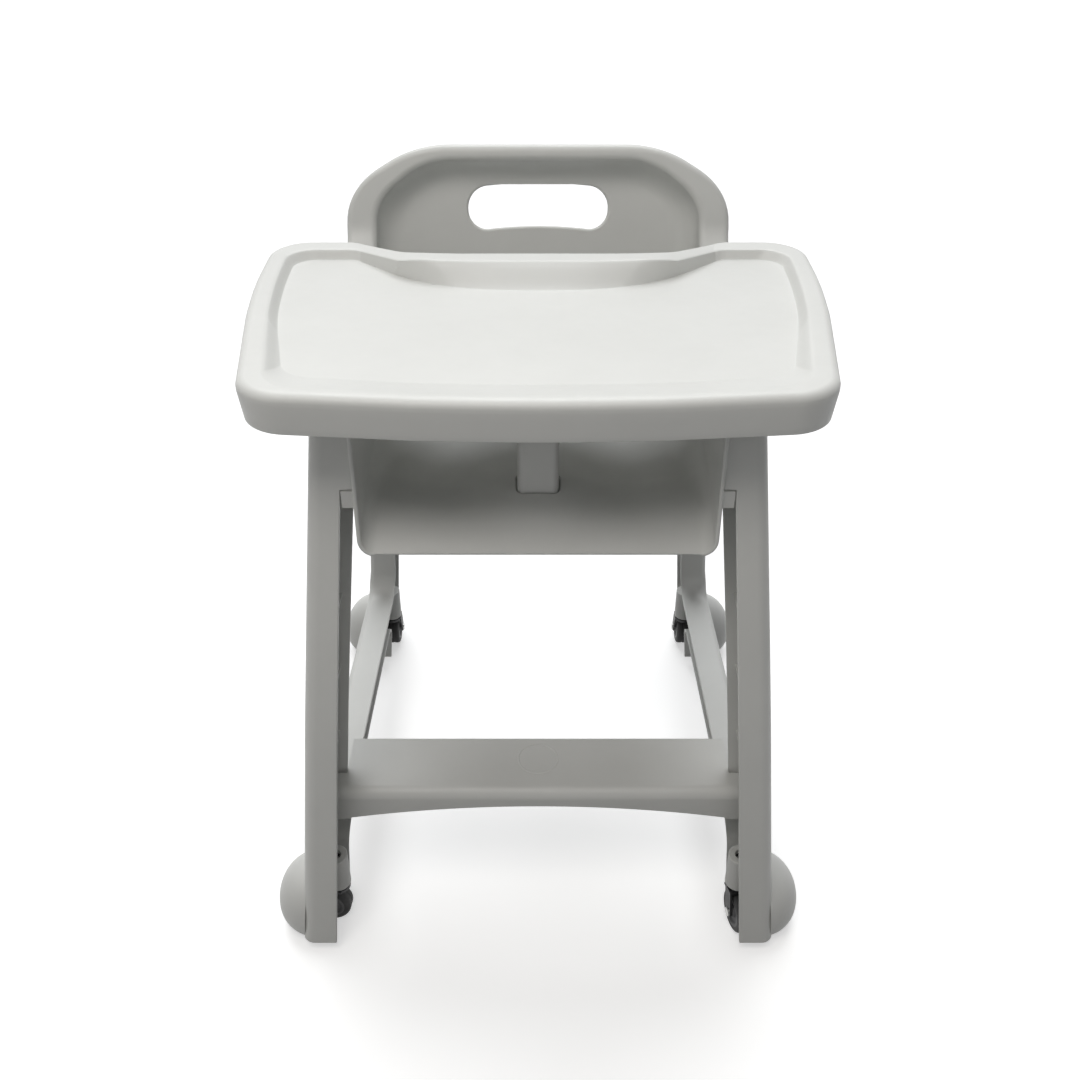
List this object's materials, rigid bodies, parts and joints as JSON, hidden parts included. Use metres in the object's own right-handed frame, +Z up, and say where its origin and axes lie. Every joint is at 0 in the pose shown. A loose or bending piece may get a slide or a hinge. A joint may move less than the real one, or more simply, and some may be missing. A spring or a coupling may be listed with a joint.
{
  "type": "baby high chair",
  "caption": "Moulded plastic high chair with bucket seat, lift-off tray with crotch post, footrest between channel-section side frames and swivel castors.",
  "frame": {"origin": "on the floor under the middle of the chair's bounding box", "axes": "+Z up; the child faces -Y; +X is to the viewer's right in the picture"},
  "size_m": [0.5938, 0.594, 0.7559],
  "materials": {
    "moulded_plastic": "fine textured satin",
    "castor_plastic": "satin",
    "hub_plastic": "satin",
    "tyre": "matte",
    "zinc_steel": "zinc plated"
  },
  "bodies": {
    "chair": {"side_frame_left": "moulded_plastic", "side_frame_right": "moulded_plastic", "seat_shell": "moulded_plastic", "footrest": "moulded_plastic", "seat_bolts": "zinc_steel", "footrest_bolts": "zinc_steel", "sleeve_fl": "castor_plastic", "sleeve_fr": "castor_plastic", "sleeve_rl": "castor_plastic", "sleeve_rr": "castor_plastic"},
    "tray": {"tray": "moulded_plastic", "crotch_post": "moulded_plastic", "post_screws": "zinc_steel"},
    "castor_fl": {"stem_fl": "zinc_steel", "fork_fl": "castor_plastic", "axle_fl": "zinc_steel"},
    "wheel_fl": {"hub_fl": "hub_plastic", "tyre_fl": "tyre"},
    "castor_fr": {"stem_fr": "zinc_steel", "fork_fr": "castor_plastic", "axle_fr": "zinc_steel"},
    "wheel_fr": {"hub_fr": "hub_plastic", "tyre_fr": "tyre"},
    "castor_rl": {"stem_rl": "zinc_steel", "fork_rl": "castor_plastic", "axle_rl": "zinc_steel"},
    "wheel_rl": {"hub_rl": "hub_plastic", "tyre_rl": "tyre"},
    "castor_rr": {"stem_rr": "zinc_steel", "fork_rr": "castor_plastic", "axle_rr": "zinc_steel"},
    "wheel_rr": {"hub_rr": "hub_plastic", "tyre_rr": "tyre"}
  },
  "joints": [
    {"name": "tray_lift", "type": "slide", "parent": "chair", "child": "tray", "axis": [0, 0, 1], "range_m": [0, 0.06]},
    {"name": "castor_fl_swivel", "type": "hinge", "parent": "chair", "child": "castor_fl", "pos_m": [-0.227, -0.247, 0.08], "axis": [0, 0, 1], "continuous": true},
    {"name": "wheel_fl_spin", "type": "hinge", "parent": "castor_fl", "child": "wheel_fl", "pos_m": [-0.23995, -0.24587, 0.025], "axis": [0.0872, 0.9962, 0], "continuous": true},
    {"name": "castor_fr_swivel", "type": "hinge", "parent": "chair", "child": "castor_fr", "pos_m": [0.227, -0.247, 0.08], "axis": [0, 0, 1], "continuous": true},
    {"name": "wheel_fr_spin", "type": "hinge", "parent": "castor_fr", "child": "wheel_fr", "pos_m": [0.22992, -0.25967, 0.025], "axis": [-0.9744, -0.225, 0], "continuous": true},
    {"name": "castor_rl_swivel", "type": "hinge", "parent": "chair", "child": "castor_rl", "pos_m": [-0.22206, 0.247, 0.08], "axis": [0, 0, 1], "continuous": true},
    {"name": "wheel_rl_spin", "type": "hinge", "parent": "castor_rl", "child": "wheel_rl", "pos_m": [-0.22206, 0.26, 0.025], "axis": [1, 0, 0], "continuous": true},
    {"name": "castor_rr_swivel", "type": "hinge", "parent": "chair", "child": "castor_rr", "pos_m": [0.22206, 0.247, 0.08], "axis": [0, 0, 1], "continuous": true},
    {"name": "wheel_rr_spin", "type": "hinge", "parent": "castor_rr", "child": "wheel_rr", "pos_m": [0.22206, 0.26, 0.025], "axis": [1, 0, 0], "continuous": true}
  ]
}
